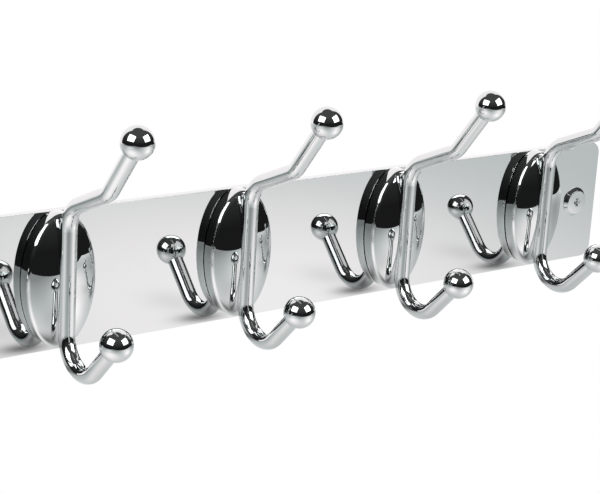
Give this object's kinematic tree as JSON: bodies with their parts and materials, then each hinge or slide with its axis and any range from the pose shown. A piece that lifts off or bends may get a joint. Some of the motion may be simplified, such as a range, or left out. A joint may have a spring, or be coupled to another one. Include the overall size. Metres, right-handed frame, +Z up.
{
  "type": "wall hook rack",
  "caption": "Flat wall-mounted plate with rounded corners carrying double hooks: each is an oval boss with a bent rod and a ball on both ends.",
  "frame": {"origin": "centre of the backplate's back face, where the plate meets the wall", "axes": "+X along the plate, +Z up, -Y out of the wall towards the room, +Y into the wall"},
  "size_m": [0.3, 0.0995, 0.0959],
  "materials": {
    "plate_chrome": "mirror",
    "boss_chrome": "mirror",
    "rod_chrome": "mirror",
    "ball_chrome": "mirror",
    "screw_chrome": "mirror",
    "zinc_steel": "satin zinc plate"
  },
  "bodies": {
    "root": {"backplate": "plate_chrome", "boss_1": "boss_chrome", "hook_rod_1": "rod_chrome", "upper_ball_1": "ball_chrome", "lower_ball_1": "ball_chrome", "boss_screw_1_upper": "zinc_steel", "boss_screw_1_lower": "zinc_steel", "boss_2": "boss_chrome", "hook_rod_2": "rod_chrome", "upper_ball_2": "ball_chrome", "lower_ball_2": "ball_chrome", "boss_screw_2_upper": "zinc_steel", "boss_screw_2_lower": "zinc_steel", "boss_3": "boss_chrome", "hook_rod_3": "rod_chrome", "upper_ball_3": "ball_chrome", "lower_ball_3": "ball_chrome", "boss_screw_3_upper": "zinc_steel", "boss_screw_3_lower": "zinc_steel", "boss_4": "boss_chrome", "hook_rod_4": "rod_chrome", "upper_ball_4": "ball_chrome", "lower_ball_4": "ball_chrome", "boss_screw_4_upper": "zinc_steel", "boss_screw_4_lower": "zinc_steel", "wall_screw_left": "screw_chrome", "wall_screw_right": "screw_chrome"}
  },
  "joints": []
}
